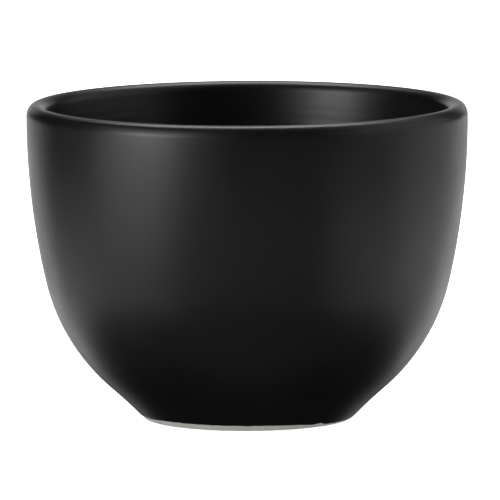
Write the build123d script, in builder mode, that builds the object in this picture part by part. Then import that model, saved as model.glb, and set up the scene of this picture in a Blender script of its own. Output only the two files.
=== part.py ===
"""Sugar bowl: an open, lidless stoneware bowl in a black glaze, on a bare turned foot ring.

Millimetres, +Z up. The origin is the centre of the plane that the foot ring stands on, and the
bowl is turned about Z. Every outline is the right-hand half section, drawn as radius and height.
"""

from build123d import *
from math import radians, sin
import os

# Driving dimensions
outside_diameter = 85.0
height = 61.0
glaze_thickness = 0.3
glaze_line_height = 1.1

# Runs of tangent arcs, each as (radius of the glazed surface, turn in degrees)
lip_arcs = [(3.0, 27.0), (1.75, 63.0)]  # from the widest point up to the crest
edge_arcs = [(2.0, 84.0)]  # from the crest down to the inner wall, which leans inwards
outside_arcs = [(144.0, 12.8), (38.4, 36.35)]  # from the widest point down to the foot's flare
inside_arcs = [(420.0, 4.0), (34.0, 25.0), (21.0, 41.0)]  # inner wall, and its turn into the floor

# Hollow flare between the belly and the foot. The clay is hollowed a little tighter than the
# glazed surface, so the glaze thins out towards its lower edge.
glazed_flare_radius = 103.5
clay_flare_radius = 64.0

# Foot ring and the recess under the base
foot_edge_round = 1.2
foot_inner_radius = 15.4
foot_inner_round = 0.8
recess_depth = 1.5


def rise(arcs):
    """Height gained by a run of arcs that sets out straight up or straight down."""
    total = 0.0
    turned = 0.0
    for radius, turn in arcs:
        total += radius * (sin(radians(turned + turn)) - sin(radians(turned)))
        turned += turn
    return total


outside_radius = outside_diameter / 2
widest_height = height - rise(lip_arcs)
floor_turn = sum(turn for _, turn in edge_arcs) - sum(turn for _, turn in inside_arcs)


def draw_arcs(start, heading, arcs, growth, side):
    """Draws tangent arcs, their radii changed by growth, and returns the last one.

    side is 1 where the run turns anticlockwise and -1 where it turns clockwise.
    """
    arc = None
    for radius, turn in arcs:
        arc = JernArc(start, heading, radius + growth, side * turn)
        start = arc @ 1
        heading = arc % 1
    return arc


def bowl_section(inset, flare_radius):
    """Half section whose outside, lip and inside lie inset below the glazed surface."""
    widest = (outside_radius - inset, widest_height)
    with BuildSketch() as section:
        with BuildLine():
            # outside, from the widest point down to the standing plane
            belly = draw_arcs(widest, (0, -1), outside_arcs, -inset, -1)
            flare = JernArc(belly @ 1, belly % 1, flare_radius, Axis.X)
            # underside: foot ring and recess
            Line(flare @ 1, (foot_inner_radius, 0))
            Line((foot_inner_radius, 0), (foot_inner_radius, recess_depth))
            Line((foot_inner_radius, recess_depth), (0, recess_depth))
            # lip, from the widest point over the crest to the inner wall
            lip = draw_arcs(widest, (0, 1), lip_arcs + edge_arcs, -inset, 1)
            # inside, from the lip down the wall to the middle of the floor
            corner = draw_arcs(lip @ 1, lip % 1, inside_arcs, inset, -1)
            floor_radius = (corner @ 1).X / sin(radians(floor_turn))
            floor = JernArc(corner @ 1, corner % 1, floor_radius, -floor_turn)
            Line(floor @ 1, (0, recess_depth))
        make_face()
    return section.sketch


glazed_section = bowl_section(0.0, glazed_flare_radius)
clay_section = bowl_section(glaze_thickness, clay_flare_radius)

# Fired clay body: wall, floor and foot ring in one piece, as it was thrown and turned
with BuildPart() as stoneware_body:
    with BuildSketch(Plane.XZ):
        add(clay_section)
    revolve(axis=Axis.Z)
    foot_rims = edges().filter_by(GeomType.CIRCLE).group_by(Axis.Z)[0].sort_by(SortBy.RADIUS)
    fillet(foot_rims[-1], foot_edge_round)
    foot_rims = edges().filter_by(GeomType.CIRCLE).group_by(Axis.Z)[0].sort_by(SortBy.RADIUS)
    fillet(foot_rims[0], foot_inner_round)

# Glaze fired onto the outside, the lip and the inside, ending above the bare foot
with BuildPart() as glaze_coat:
    with BuildSketch(Plane.XZ):
        add(glazed_section)
        add(clay_section, mode=Mode.SUBTRACT)
        Rectangle(
            outside_diameter,
            glaze_line_height,
            align=(Align.CENTER, Align.MIN),
            mode=Mode.SUBTRACT,
        )
    revolve(axis=Axis.Z)

# Glaze in the recess under the base, clear of the surface that the foot ring stands on
with BuildPart() as recess_glaze:
    with BuildSketch(Plane.XY.offset(recess_depth - glaze_thickness)):
        Circle(foot_inner_radius)
    extrude(amount=glaze_thickness)

pieces = {
    "stoneware_body": stoneware_body,
    "glaze_coat": glaze_coat,
    "recess_glaze": recess_glaze,
}

os.makedirs("parts", exist_ok=True)
for name, piece in pieces.items():
    piece.part.label = name
    export_step(piece.part, f"parts/{name}.step")
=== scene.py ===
"""Looks of the sugar bowl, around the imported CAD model.

The CAD nodes are replaced by meshes with the marks of making: turning rings, the glaze's
ragged lower edge and the dry foot. Outlines and surface marks are worked out in millimetres;
meshes, lights and the camera are in metres.
"""

from math import acos, atan2, cos, pi, radians, sin, sqrt, tan, tau

import bpy
import numpy as np
from mathutils import Matrix, Vector, noise


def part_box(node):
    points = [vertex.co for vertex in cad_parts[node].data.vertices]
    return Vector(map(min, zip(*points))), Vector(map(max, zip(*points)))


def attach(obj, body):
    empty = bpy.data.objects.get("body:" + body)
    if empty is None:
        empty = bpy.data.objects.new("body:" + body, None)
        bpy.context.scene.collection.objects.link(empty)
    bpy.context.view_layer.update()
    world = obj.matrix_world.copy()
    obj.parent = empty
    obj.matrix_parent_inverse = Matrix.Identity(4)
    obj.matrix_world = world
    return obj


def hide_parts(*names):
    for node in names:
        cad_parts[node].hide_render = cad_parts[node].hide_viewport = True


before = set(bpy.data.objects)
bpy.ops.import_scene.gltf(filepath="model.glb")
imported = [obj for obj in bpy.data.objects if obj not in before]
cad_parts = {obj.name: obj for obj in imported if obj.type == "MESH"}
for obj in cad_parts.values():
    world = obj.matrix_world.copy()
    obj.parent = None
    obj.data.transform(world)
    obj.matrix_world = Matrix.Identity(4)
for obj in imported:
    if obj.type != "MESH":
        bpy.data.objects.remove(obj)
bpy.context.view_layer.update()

MM = 0.001

# ---- the CAD outline, in millimetres, as in part.py; its overall sizes come from the frame ----

GLAZE_LOW, GLAZE_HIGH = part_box("glaze_coat")
CLAY_LOW, CLAY_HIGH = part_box("stoneware_body")
RECESS_LOW, RECESS_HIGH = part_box("recess_glaze")

OUTSIDE_RADIUS = GLAZE_HIGH.x / MM
HEIGHT = GLAZE_HIGH.z / MM
GLAZE_THICKNESS = HEIGHT - CLAY_HIGH.z / MM
RECESS_RADIUS = RECESS_HIGH.x / MM
RECESS_DEPTH = RECESS_HIGH.z / MM

LIP_ARCS = [(3.0, 27.0), (1.75, 63.0)]
EDGE_ARCS = [(2.0, 84.0)]
OUTSIDE_ARCS = [(144.0, 12.8), (38.4, 36.35)]
INSIDE_ARCS = [(420.0, 4.0), (34.0, 25.0), (21.0, 41.0)]
GLAZED_FLARE_RADIUS = 103.5
CLAY_FLARE_RADIUS = 64.0
FOOT_EDGE_ROUND = 1.2
FOOT_INNER_ROUND = 0.8


def rise(arcs):
    """Height gained by a run of arcs that sets out straight up."""
    total = 0.0
    turned = 0.0
    for radius, turn in arcs:
        total += radius * (sin(radians(turned + turn)) - sin(radians(turned)))
        turned += turn
    return total


WIDEST_HEIGHT = HEIGHT - rise(LIP_ARCS)

SEGMENTS = 320  # points round the bowl
MOST_TURN = 9.0  # degrees that one chord of an arc may turn


# ---- outlines ----

def arc(start, heading, radius, turn, step):
    """Points (radius, height) along a tangent arc after its start, and the heading at its end.

    heading and turn are degrees, anticlockwise positive; step is the longest chord in mm.
    """
    side = 1.0 if turn > 0 else -1.0
    h0 = radians(heading)
    centre = np.array([start[0] - side * radius * sin(h0), start[1] + side * radius * cos(h0)])
    length = radius * radians(abs(turn))
    count = max(3, int(length / step) + 1, int(abs(turn) / MOST_TURN) + 1)
    h = h0 + radians(turn) * np.linspace(0.0, 1.0, count + 1)[1:]
    points = centre + side * radius * np.stack([np.sin(h), -np.cos(h)], 1)
    return points, heading + turn


def run(start, heading, arcs, growth, side, step):
    """Points along a run of tangent arcs, and the heading at its end."""
    parts = [np.array([start])]
    for radius, turn in arcs:
        points, heading = arc(parts[-1][-1], heading, radius + growth, side * turn, step)
        parts.append(points)
    return np.concatenate(parts), heading


def inside_line(inset, step):
    """From the middle of the floor up to the lip."""
    top = lip_line(inset, step)[-1]
    lean = 90.0 - sum(turn for _, turn in EDGE_ARCS)
    points, heading = run(top, -90.0 - lean, INSIDE_ARCS, inset, -1.0, step)
    floor_turn = heading + 180.0
    floor_radius = points[-1][0] / sin(radians(floor_turn))
    last, _ = arc(points[-1], heading, floor_radius, -floor_turn, 2.0 * step)
    last[-1][0] = 0.0
    return np.concatenate([points, last])[::-1]


def lip_line(inset, step):
    """From the widest point over the crest to the inner wall."""
    start = (OUTSIDE_RADIUS - inset, WIDEST_HEIGHT)
    return run(start, 90.0, LIP_ARCS + EDGE_ARCS, -inset, 1.0, step)[0]


def belly_line(inset, step):
    """From the widest point down to where the foot's flare sets in, and the heading there."""
    return run((OUTSIDE_RADIUS - inset, WIDEST_HEIGHT), -90.0, OUTSIDE_ARCS, -inset, -1.0, step)


def flare_point(start, heading, radius, distance):
    """Point and outward normal on the hollow flare, a distance along it from its start."""
    h0 = radians(heading)
    h = h0 + distance / radius
    centre = np.array([start[0] - radius * sin(h0), start[1] + radius * cos(h0)])
    point = centre + radius * np.array([sin(h), -cos(h)])
    return point, np.array([-sin(h), cos(h)])


def distances(points):
    """How far along a line each of its points is."""
    gaps = np.hypot(*np.diff(points, axis=0).T)
    return np.concatenate([[0.0], np.cumsum(gaps)])


def resample(points, shares):
    """The same line with its points at these shares of its length, from 0 to 1."""
    along = distances(points)
    at = np.interp(shares, (0.0, 1.0), (0.0, along[-1]))
    return np.stack([np.interp(at, along, points[:, 0]), np.interp(at, along, points[:, 1])], 1)


def normals_of(points, side):
    """Unit normals of an open line, to the right of its direction where side is 1."""
    d = np.gradient(points, axis=0)
    d /= np.hypot(d[:, 0], d[:, 1])[:, None]
    return side * np.stack([d[:, 1], -d[:, 0]], 1)


# ---- surface irregularities, in millimetres ----

AZIMUTHS = tau * np.arange(SEGMENTS) / SEGMENTS  # 0 is the front, -Y, and they grow towards +X


def place(radius, height, azimuth):
    """Row frame point, in mm, of a radius and height at an azimuth."""
    return Vector((radius * sin(azimuth), -radius * cos(azimuth), height))


def waviness(points, size, seed):
    """Smooth noise from -1 to 1 for each point of a line at each azimuth, with lumps of that size."""
    shift = Vector((seed * 31.7, seed * 17.3, seed * 7.9))
    out = np.empty((len(points), SEGMENTS))
    for i, (radius, height) in enumerate(points):
        for j, azimuth in enumerate(AZIMUTHS):
            out[i, j] = noise.noise(place(radius, height, azimuth) / size + shift)
    return out


def ripple(count, seed):
    """Smooth periodic noise from about -1 to 1 round the bowl, with that many lumps to the turn."""
    reach = count / tau
    return np.array([
        1.8 * noise.noise(Vector((reach * sin(a), reach * cos(a), seed * 13.1))) for a in AZIMUTHS
    ])


def turning_rings(points, pitch, depth, seed):
    """Spiral ridges left by the fingers or the tool, of uneven depth."""
    along = distances(points)[:, None]
    phase = tau * along / pitch - AZIMUTHS[None, :]
    drift = 0.9 * waviness(points, 14.0, seed)
    strength = 0.65 + 0.7 * waviness(points, 9.0, seed + 1)
    return depth * strength * np.sin(phase + drift * 2.0)


# ---- the glaze's lower edge ----

# Height in millimetres of the glaze's edge at chosen azimuths in degrees. In front it is wiped to
# an even line that dips on the left and steps down on the right, with a small notch before the
# step. The sides and the back are free.
EDGE_HEIGHTS = [
    (-180, 1.15), (-150, 1.22), (-120, 1.08), (-90, 0.98), (-62, 1.02), (-50, 1.15), (-30, 1.22),
    (10, 1.22), (20, 1.10), (35, 0.86), (40, 0.92), (42, 0.98), (44.5, 0.62), (50, 0.56),
    (75, 0.52), (100, 0.66), (125, 0.95), (150, 1.10), (180, 1.15),
]


def edge_heights():
    """Height of the glaze's edge at every azimuth, with its fine raggedness."""
    degrees_round = (np.degrees(AZIMUTHS) + 180.0) % 360.0 - 180.0
    base = np.interp(degrees_round, *zip(*EDGE_HEIGHTS))
    return base + 0.035 * ripple(150, 3) + 0.03 * ripple(60, 4) + 0.02 * ripple(18, 5)


# ---- meshes ----

def lathe(name, rows):
    """Closed smooth mesh from rows of (radius, height) pairs in mm, one pair for each azimuth.

    The first and last rows lie on the axis and become one point each. The rows run up the
    outside and down the inside, or outwards under the piece and back over it, so that the
    faces look outwards.
    """
    rows = np.asarray(rows)
    body = rows[1:-1]
    x = body[:, :, 0] * np.sin(AZIMUTHS)
    y = -body[:, :, 0] * np.cos(AZIMUTHS)
    points = np.stack([x, y, body[:, :, 1]], 2).reshape(-1, 3)
    poles = [(0.0, 0.0, rows[0, :, 1].mean()), (0.0, 0.0, rows[-1, :, 1].mean())]
    points = np.concatenate([points, poles]) * MM
    count = len(body)
    first, last = count * SEGMENTS, count * SEGMENTS + 1
    around = np.arange(SEGMENTS)
    after = (around + 1) % SEGMENTS
    faces = []
    for i in range(count - 1):
        low, high = i * SEGMENTS, (i + 1) * SEGMENTS
        faces += np.stack([low + around, low + after, high + after, high + around], 1).tolist()
    faces += [(first, b, a) for a, b in zip(around.tolist(), after.tolist())]
    base = (count - 1) * SEGMENTS
    faces += [(last, base + a, base + b) for a, b in zip(around.tolist(), after.tolist())]
    mesh = bpy.data.meshes.new(name)
    mesh.from_pydata(points.tolist(), [], faces)
    mesh.polygons.foreach_set("use_smooth", [True] * len(mesh.polygons))
    mesh.update()
    piece = bpy.data.objects.new(name, mesh)
    bpy.context.scene.collection.objects.link(piece)
    return piece


def spread(points, normals=None, lift=None):
    """A line as rows for every azimuth, lifted along its normals."""
    rows = np.repeat(points[:, None, :], SEGMENTS, 1)
    if lift is not None:
        rows = rows + normals[:, None, :] * lift[:, :, None]
    return rows


def fade(count, start, end):
    """Weights for a line's points: 0 before the share start, 1 after the share end."""
    share = np.linspace(0.0, 1.0, count)
    t = np.clip((share - start) / (end - start), 0.0, 1.0)
    return t * t * (3.0 - 2.0 * t)


def flare_rows(clay_start, heading, flare, shares, rounding):
    """Rows down the flare to the glaze's edge: on the clay, lifted by the glaze's thickness.

    flare is the distance down the clay's flare to the edge at each azimuth. shares run from 0 at
    the start to 1 at the edge; the glaze's face rounds off over the last rounding mm.
    """
    rows = np.empty((len(shares), SEGMENTS, 2))
    for j in range(SEGMENTS):
        for i, share in enumerate(shares):
            distance = share * flare[j]
            point, normal = flare_point(clay_start, heading, CLAY_FLARE_RADIUS, distance)
            thins = distance ** 2 / 2.0 * (1.0 / CLAY_FLARE_RADIUS - 1.0 / GLAZED_FLARE_RADIUS)
            thickness = max(GLAZE_THICKNESS - thins, 0.10)
            left = flare[j] - distance
            if left < rounding:
                thickness *= sqrt(max(0.0, 1.0 - (1.0 - left / rounding) ** 2))
            rows[i, j] = point + normal * thickness
    return rows


def flare_distance(start, heading, radius, height):
    """How far down the hollow flare a height is."""
    h0 = radians(heading)
    centre_height = start[1] + radius * cos(h0)
    return (-acos((centre_height - height) / radius) - h0) * radius


# Marks of making on the glaze, and the longest chord of its belly, in millimetres
RING_PITCH = 1.9
RING_DEPTH = 0.014
INSIDE_WAVE = 0.02
BELLY_WAVE = 0.016
EDGE_ROUNDING = 0.22
BELLY_STEP = 1.7


def make_glaze():
    """The coat: inside, lip and outside with their marks, the ragged edge, and its back on the clay."""
    floor_share = 0.42
    shares = np.concatenate([
        np.linspace(0.0, floor_share, 40),
        np.linspace(floor_share, 1.0, 118)[1:],
    ])
    inside = resample(inside_line(0.0, 0.3), shares)
    rings = turning_rings(inside, RING_PITCH, RING_DEPTH, 1)
    inside_lift = rings * fade(len(inside), 0.10, 0.3)[:, None]
    inside_lift = inside_lift + INSIDE_WAVE * waviness(inside, 11.0, 6)
    inside_lift *= 1.0 - fade(len(inside), 0.94, 1.0)[:, None]
    inside_lift *= fade(len(inside), 0.0, 0.04)[:, None]
    inside_rows = spread(inside, normals_of(inside, -1.0), inside_lift)

    lip_rows = spread(lip_line(0.0, 0.22)[::-1])

    belly, _ = belly_line(0.0, BELLY_STEP)
    belly_lift = BELLY_WAVE * waviness(belly, 13.0, 9) * fade(len(belly), 0.0, 0.2)[:, None]
    belly_lift *= 1.0 - fade(len(belly), 0.8, 1.0)[:, None]
    belly_rows = spread(belly, normals_of(belly, -1.0), belly_lift)

    clay_belly, heading = belly_line(GLAZE_THICKNESS, BELLY_STEP)
    start = clay_belly[-1]
    edge = [flare_distance(start, heading, CLAY_FLARE_RADIUS, h) for h in edge_heights()]
    rounded_shares = [0.94, 0.965, 0.978, 0.987, 0.994, 0.998, 1.0]
    shares = np.concatenate([np.linspace(0.0, 0.9, 10)[1:], rounded_shares])
    front_rows = flare_rows(start, heading, np.array(edge), shares, EDGE_ROUNDING)

    back_rows = np.empty((3, SEGMENTS, 2))
    for i, share in enumerate((0.9, 0.5, 0.0)):
        for j in range(SEGMENTS):
            point, _ = flare_point(start, heading, CLAY_FLARE_RADIUS, share * edge[j])
            back_rows[i, j] = point
    back_belly = spread(belly_line(GLAZE_THICKNESS, 5.0)[0][::-1][1:])
    back_lip = spread(lip_line(GLAZE_THICKNESS, 1.2)[1:])
    back_inside = spread(inside_line(GLAZE_THICKNESS, 6.0)[::-1][1:])
    return lathe("black_glaze_coat", np.concatenate([
        inside_rows, lip_rows[1:], belly_rows[1:], front_rows, back_rows,
        back_belly, back_lip, back_inside,
    ])[::-1])


def clay_marks(points, seed):
    """Fine grooves and grain of the turned, unglazed foot: always into the clay."""
    along = distances(points)
    marks = np.empty((len(points), SEGMENTS))
    for i, distance in enumerate(along):
        for j, azimuth in enumerate(AZIMUTHS):
            x, y = 3.0 * sin(azimuth), 3.0 * cos(azimuth)
            groove = noise.noise(Vector((distance / 0.33 + seed, x, y)))
            around = (22.0 * sin(azimuth), 22.0 * cos(azimuth))
            grain = noise.noise(Vector((distance / 0.5 - seed, *around)))
            marks[i, j] = 0.5 + 0.9 * groove + 0.5 * grain
    return -0.022 * np.clip(marks, 0.0, 1.2)


def make_clay():
    """The fired body, with the marks of turning on its bare foot and plain where glaze covers it."""
    inside = inside_line(GLAZE_THICKNESS, 3.0)
    lip = lip_line(GLAZE_THICKNESS, 0.6)[::-1][1:]
    belly, heading = belly_line(GLAZE_THICKNESS, 2.5)
    covered = np.concatenate([inside, lip, belly[1:]])

    start = belly[-1]
    h0 = radians(heading)
    centre = np.array([
        start[0] - CLAY_FLARE_RADIUS * sin(h0), start[1] + CLAY_FLARE_RADIUS * cos(h0),
    ])
    reach = CLAY_FLARE_RADIUS + FOOT_EDGE_ROUND
    round_centre = np.array([
        centre[0] - sqrt(reach ** 2 - (FOOT_EDGE_ROUND - centre[1]) ** 2), FOOT_EDGE_ROUND,
    ])
    out = (centre - round_centre) / reach
    round_start = round_centre + FOOT_EDGE_ROUND * out
    flare_end = flare_distance(start, heading, CLAY_FLARE_RADIUS, round_start[1])
    bare_start = flare_end - 2.0
    down = np.concatenate([
        np.linspace(0.0, bare_start, 5)[1:],
        np.linspace(bare_start, flare_end, 24)[1:],
    ])
    flare = [flare_point(start, heading, CLAY_FLARE_RADIUS, d)[0] for d in down]
    angles = np.linspace(atan2(out[1], out[0]), -pi / 2.0, 10)[1:]
    outer_round = [round_centre + FOOT_EDGE_ROUND * np.array([cos(a), sin(a)]) for a in angles]
    flat_end = RECESS_RADIUS + FOOT_INNER_ROUND
    flat = [(r, 0.0) for r in np.linspace(outer_round[-1][0], flat_end, 26)[1:]]
    inner_round = [(flat_end - FOOT_INNER_ROUND * sin(a), FOOT_INNER_ROUND * (1.0 - cos(a)))
                   for a in np.linspace(0.0, pi / 2.0, 9)[1:]]
    bare = np.array(flare + outer_round + flat + inner_round)
    lift = clay_marks(bare, 2.0) * fade(len(bare), 0.02, 0.12)[:, None]
    lift *= 1.0 - fade(len(bare), 0.93, 1.0)[:, None]
    bare_rows = spread(bare, normals_of(bare, -1.0), lift)

    side = [(RECESS_RADIUS, h) for h in np.linspace(FOOT_INNER_ROUND, RECESS_DEPTH, 4)[1:]]
    top = [(r, RECESS_DEPTH) for r in np.linspace(RECESS_RADIUS, 0.0, 8)[1:]]
    ceiling = np.array(side + top)
    return lathe("stoneware_foot_and_wall", np.concatenate([
        spread(covered), bare_rows, spread(ceiling),
    ])[::-1])


def make_recess_glaze():
    """The puddle of glaze under the base: it creeps a little down the recess wall all round."""
    creep = 0.30 + 0.07 * ripple(14, 21) + 0.05 * ripple(50, 22)
    face_height = RECESS_LOW.z / MM
    corner_reach = 0.9
    corner_start = RECESS_RADIUS - corner_reach
    face = np.array([(r, face_height) for r in np.linspace(0.0, corner_start, 26)])
    lift = 0.03 * waviness(face, 5.0, 24) * fade(len(face), 0.0, 0.1)[:, None]
    face_rows = spread(face, np.array([(0.0, 1.0)] * len(face)), lift)
    corner = np.empty((10, SEGMENTS, 2))
    for i, t in enumerate(np.linspace(0.0, 1.0, 11)[1:]):
        corner[i, :, 0] = corner_start + corner_reach * sin(t * pi / 2.0)
        corner[i, :, 1] = face_height + lift[-1] * (1.0 - t) - creep * (1.0 - cos(t * pi / 2.0)) * t
    back = np.array([(RECESS_RADIUS, RECESS_DEPTH - 0.02), (RECESS_RADIUS - 0.02, RECESS_DEPTH)]
                    + [(r, RECESS_DEPTH) for r in np.linspace(RECESS_RADIUS, 0.0, 10)[1:]])
    return lathe("recess_glaze_puddle", np.concatenate([face_rows, corner, spread(back)]))


# ---- materials ----

def new_material(name):
    """An empty node material: its nodes, links and Principled shader."""
    material = bpy.data.materials.new(name)
    material.use_nodes = True
    nodes, links = material.node_tree.nodes, material.node_tree.links
    return material, nodes, links, nodes["Principled BSDF"]


def noise_of(nodes, links, coordinates, lump_mm, detail=3.0, roughness=0.5, stretch=(1.0, 1.0, 1.0)):
    """Noise value with lumps of that size, in millimetres, on the object's own coordinates."""
    mapping = nodes.new("ShaderNodeMapping")
    mapping.inputs["Scale"].default_value = stretch
    links.new(coordinates, mapping.inputs["Vector"])
    texture = nodes.new("ShaderNodeTexNoise")
    texture.inputs["Scale"].default_value = 1.0 / (lump_mm * MM)
    texture.inputs["Detail"].default_value = detail
    texture.inputs["Roughness"].default_value = roughness
    links.new(mapping.outputs["Vector"], texture.inputs["Vector"])
    return texture.outputs["Fac"]


def remap(nodes, links, value, low, high, start=0.3, end=0.7):
    """The value from start to end, as low to high."""
    node = nodes.new("ShaderNodeMapRange")
    node.inputs["From Min"].default_value = start
    node.inputs["From Max"].default_value = end
    node.inputs["To Min"].default_value = low
    node.inputs["To Max"].default_value = high
    links.new(value, node.inputs["Value"])
    return node.outputs["Result"]


def mix_colours(nodes, links, factor, first, second):
    """Colour from first to second by factor; each is a colour or a socket."""
    node = nodes.new("ShaderNodeMix")
    node.data_type = "RGBA"
    links.new(factor, node.inputs["Factor"])
    for name, colour in (("A", first), ("B", second)):
        socket = next(s for s in node.inputs if s.name == name and s.type == "RGBA")
        if isinstance(colour, tuple):
            socket.default_value = (*colour, 1.0)
        else:
            links.new(colour, socket)
    return next(s for s in node.outputs if s.type == "RGBA")


def bump(nodes, links, height, depth_mm, strength, normal=None):
    """A bump of that depth, on top of another normal if one is given."""
    node = nodes.new("ShaderNodeBump")
    node.inputs["Strength"].default_value = strength
    node.inputs["Distance"].default_value = depth_mm * MM
    links.new(height, node.inputs["Height"])
    if normal is not None:
        links.new(normal, node.inputs["Normal"])
    return node.outputs["Normal"]


def glaze_material():
    """Satin black glaze: nearly black, soft gloss that varies a little, very fine crystal grain."""
    material, nodes, links, shader = new_material("satin_black_glaze")
    here = nodes.new("ShaderNodeTexCoord").outputs["Object"]
    cloud = noise_of(nodes, links, here, 9.0, 4.0)
    fine = noise_of(nodes, links, here, 0.9, 3.0)
    grain = noise_of(nodes, links, here, 0.16, 2.0, 0.6)
    darkest, palest = (0.0014, 0.0014, 0.0014), (0.0024, 0.0024, 0.0024)
    colour = mix_colours(nodes, links, cloud, darkest, palest)
    links.new(colour, shader.inputs["Base Color"])
    both = nodes.new("ShaderNodeMath")
    both.operation = "MULTIPLY_ADD"
    links.new(fine, both.inputs[0])
    both.inputs[1].default_value = 0.5
    links.new(cloud, both.inputs[2])
    roughness = remap(nodes, links, both.outputs["Value"], 0.35, 0.41, 0.5, 1.0)
    links.new(roughness, shader.inputs["Roughness"])
    normal = bump(nodes, links, fine, 0.004, 0.35)
    links.new(bump(nodes, links, grain, 0.004, 0.25, normal), shader.inputs["Normal"])
    shader.inputs["IOR"].default_value = 1.5
    return material


def clay_material():
    """Bare fired stoneware: pale neutral grey, streaked by the tool, with a dry fine grain."""
    material, nodes, links, shader = new_material("bare_fired_stoneware")
    here = nodes.new("ShaderNodeTexCoord").outputs["Object"]
    streaks = noise_of(nodes, links, here, 2.2, 3.0, 0.6, (1.0, 1.0, 14.0))
    grain = noise_of(nodes, links, here, 0.12, 3.0, 0.7)
    blotch = noise_of(nodes, links, here, 2.5, 3.0)
    dull, light = (0.185, 0.184, 0.173), (0.26, 0.259, 0.244)
    stain, speck = (0.205, 0.2, 0.187), (0.10, 0.096, 0.086)
    pale = mix_colours(nodes, links, remap(nodes, links, streaks, 0.0, 1.0), dull, light)
    toned = mix_colours(nodes, links, remap(nodes, links, blotch, 0.0, 0.35), pale, stain)
    spots = remap(nodes, links, grain, 0.0, 0.55, 0.62, 0.78)
    links.new(mix_colours(nodes, links, spots, toned, speck), shader.inputs["Base Color"])
    links.new(remap(nodes, links, grain, 0.78, 0.95), shader.inputs["Roughness"])
    normal = bump(nodes, links, streaks, 0.02, 0.4)
    links.new(bump(nodes, links, grain, 0.02, 0.6, normal), shader.inputs["Normal"])
    shader.inputs["IOR"].default_value = 1.45
    shader.inputs["Specular IOR Level"].default_value = 0.25
    return material


# ---- the bowl ----

def dress(piece, material, node):
    """Gives a piece its material and its body, and hides the CAD node it replaces."""
    piece.data.materials.append(material)
    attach(piece, "root")
    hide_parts(node)


black_glaze = glaze_material()
bare_clay = clay_material()
dress(make_glaze(), black_glaze, "glaze_coat")
dress(make_clay(), bare_clay, "stoneware_body")
dress(make_recess_glaze(), black_glaze, "recess_glaze")


# ---- stage, light and camera ----

WHITE = (1.0, 1.0, 1.0, 1.0)


def make_floor():
    """Plain pale floor, wide enough to fill every view, with some light of its own.

    That light leaves no shadow under the bowl. The glaze doesn't mirror the floor, and the floor
    holds no light back, so the softboxes below it show in the gloss.
    """
    mesh = bpy.data.meshes.new("floor")
    reach = 6.0
    corners = [(-reach, -reach, 0), (reach, -reach, 0), (reach, reach, 0), (-reach, reach, 0)]
    mesh.from_pydata(corners, [], [(0, 1, 2, 3)])
    piece = bpy.data.objects.new("floor", mesh)
    bpy.context.scene.collection.objects.link(piece)
    piece.visible_glossy = False
    piece.visible_shadow = False
    material, _, _, shader = new_material("pale_floor")
    shader.inputs["Base Color"].default_value = (0.75, 0.75, 0.75, 1.0)
    shader.inputs["Roughness"].default_value = 0.9
    shader.inputs["Specular IOR Level"].default_value = 0.0
    shader.inputs["Emission Color"].default_value = WHITE
    shader.inputs["Emission Strength"].default_value = 0.75
    mesh.materials.append(material)


SOFTBOX_DISTANCE = 1.0
BOWL_CENTRE = Vector((0.0, 0.0, 0.03))


def softbox(name, azimuth, elevation, width, height, brightness):
    """Plain rectangular softbox facing the bowl; angles in degrees, azimuth 0 in front.

    The width and height are how wide and tall it looks from the bowl. The brightness is that of
    its face, in the units of the world's strength.
    """
    size_x = 2.0 * SOFTBOX_DISTANCE * tan(radians(width / 2))
    size_y = 2.0 * SOFTBOX_DISTANCE * tan(radians(height / 2))
    data = bpy.data.lights.new(name, "AREA")
    data.shape = "RECTANGLE"
    data.size = size_x
    data.size_y = size_y
    data.energy = brightness * pi * size_x * size_y
    lamp = bpy.data.objects.new(name, data)
    around, up = radians(azimuth), radians(elevation)
    heading = Vector((sin(around) * cos(up), -cos(around) * cos(up), sin(up)))
    lamp.location = BOWL_CENTRE + SOFTBOX_DISTANCE * heading
    lamp.rotation_mode = "QUATERNION"
    lamp.rotation_quaternion = (-heading).to_track_quat("-Z", "Y")
    lamp.visible_camera = False
    bpy.context.scene.collection.objects.link(lamp)


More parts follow.
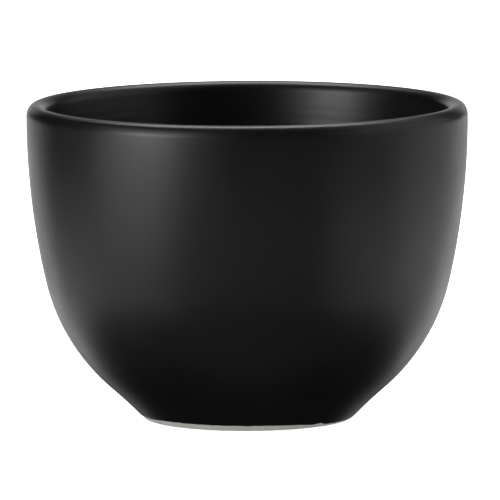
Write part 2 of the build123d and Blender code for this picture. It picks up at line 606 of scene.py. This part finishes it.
def make_lights():
    """Studio of plain softboxes: a key on the left, a broad soft side on the right, a bright back.

    Those with an elevation below zero stand for the glow of a white table further out. Most lie
    under the floor and shine through it. The camera sees none of the softboxes.
    """
    softbox("key", -52, 7, 30, 15, 8.0)
    softbox("key_upper", -52, 22, 30, 15, 2.4)
    softbox("key_top", -60, 37, 45, 15, 0.9)
    softbox("key_below", -60, -8, 45, 15, 1.4)
    softbox("right", 90, 15, 75, 30, 0.6)
    softbox("right_high", 100, 45, 60, 30, 0.5)
    softbox("right_below", 112, -8, 48, 15, 0.6)
    softbox("back_top", 180, 67, 44, 16, 8.0)
    softbox("back_high", 180, 50, 38, 22, 1.3)
    softbox("horizon", 180, 7, 48, 15, 1.3)
    for azimuth in (-155, 155):
        softbox(f"behind_{azimuth}", azimuth, -8, 38, 15, 1.1)
        softbox(f"table_{azimuth}", azimuth, -22, 24, 14, 0.5)
    for azimuth in (-127, -72, 72, 127):
        softbox(f"table_{azimuth}", azimuth, -22, 54, 15, 0.95)
    softbox("table_front", 0, -22, 60, 15, 0.4)
    softbox("table_under", 0, -60, 60, 40, 0.08)


def make_camera():
    """A long lens from a little above, looking at a point just above the bowl's middle."""
    distance = 1.832
    elevation = 7.039
    roll = -0.2347
    target = Vector((0.00045, 0.0, 0.03246))
    data = bpy.data.cameras.new("camera")
    data.sensor_width = 36.0
    data.lens = 684.5
    data.clip_start, data.clip_end = 0.1, 50.0
    camera = bpy.data.objects.new("camera", data)
    e = radians(elevation)
    back = Vector((0.0, -cos(e), sin(e)))
    camera.location = target + distance * back
    turn = (-back).to_track_quat("-Z", "Y").to_matrix() @ Matrix.Rotation(radians(roll), 3, "Z")
    camera.rotation_mode = "QUATERNION"
    camera.rotation_quaternion = turn.to_quaternion()
    bpy.context.scene.collection.objects.link(camera)
    bpy.context.scene.camera = camera


def make_world():
    """Even white surroundings, which the gloss doesn't mirror: it shows only the softboxes."""
    world = bpy.data.worlds.new("studio")
    bpy.context.scene.world = world
    world.use_nodes = True
    background = world.node_tree.nodes["Background"]
    background.inputs["Color"].default_value = WHITE
    background.inputs["Strength"].default_value = 1.2
    world.cycles_visibility.glossy = False


make_floor()
make_lights()
make_camera()
make_world()
bpy.context.scene.view_settings.view_transform = "Standard"
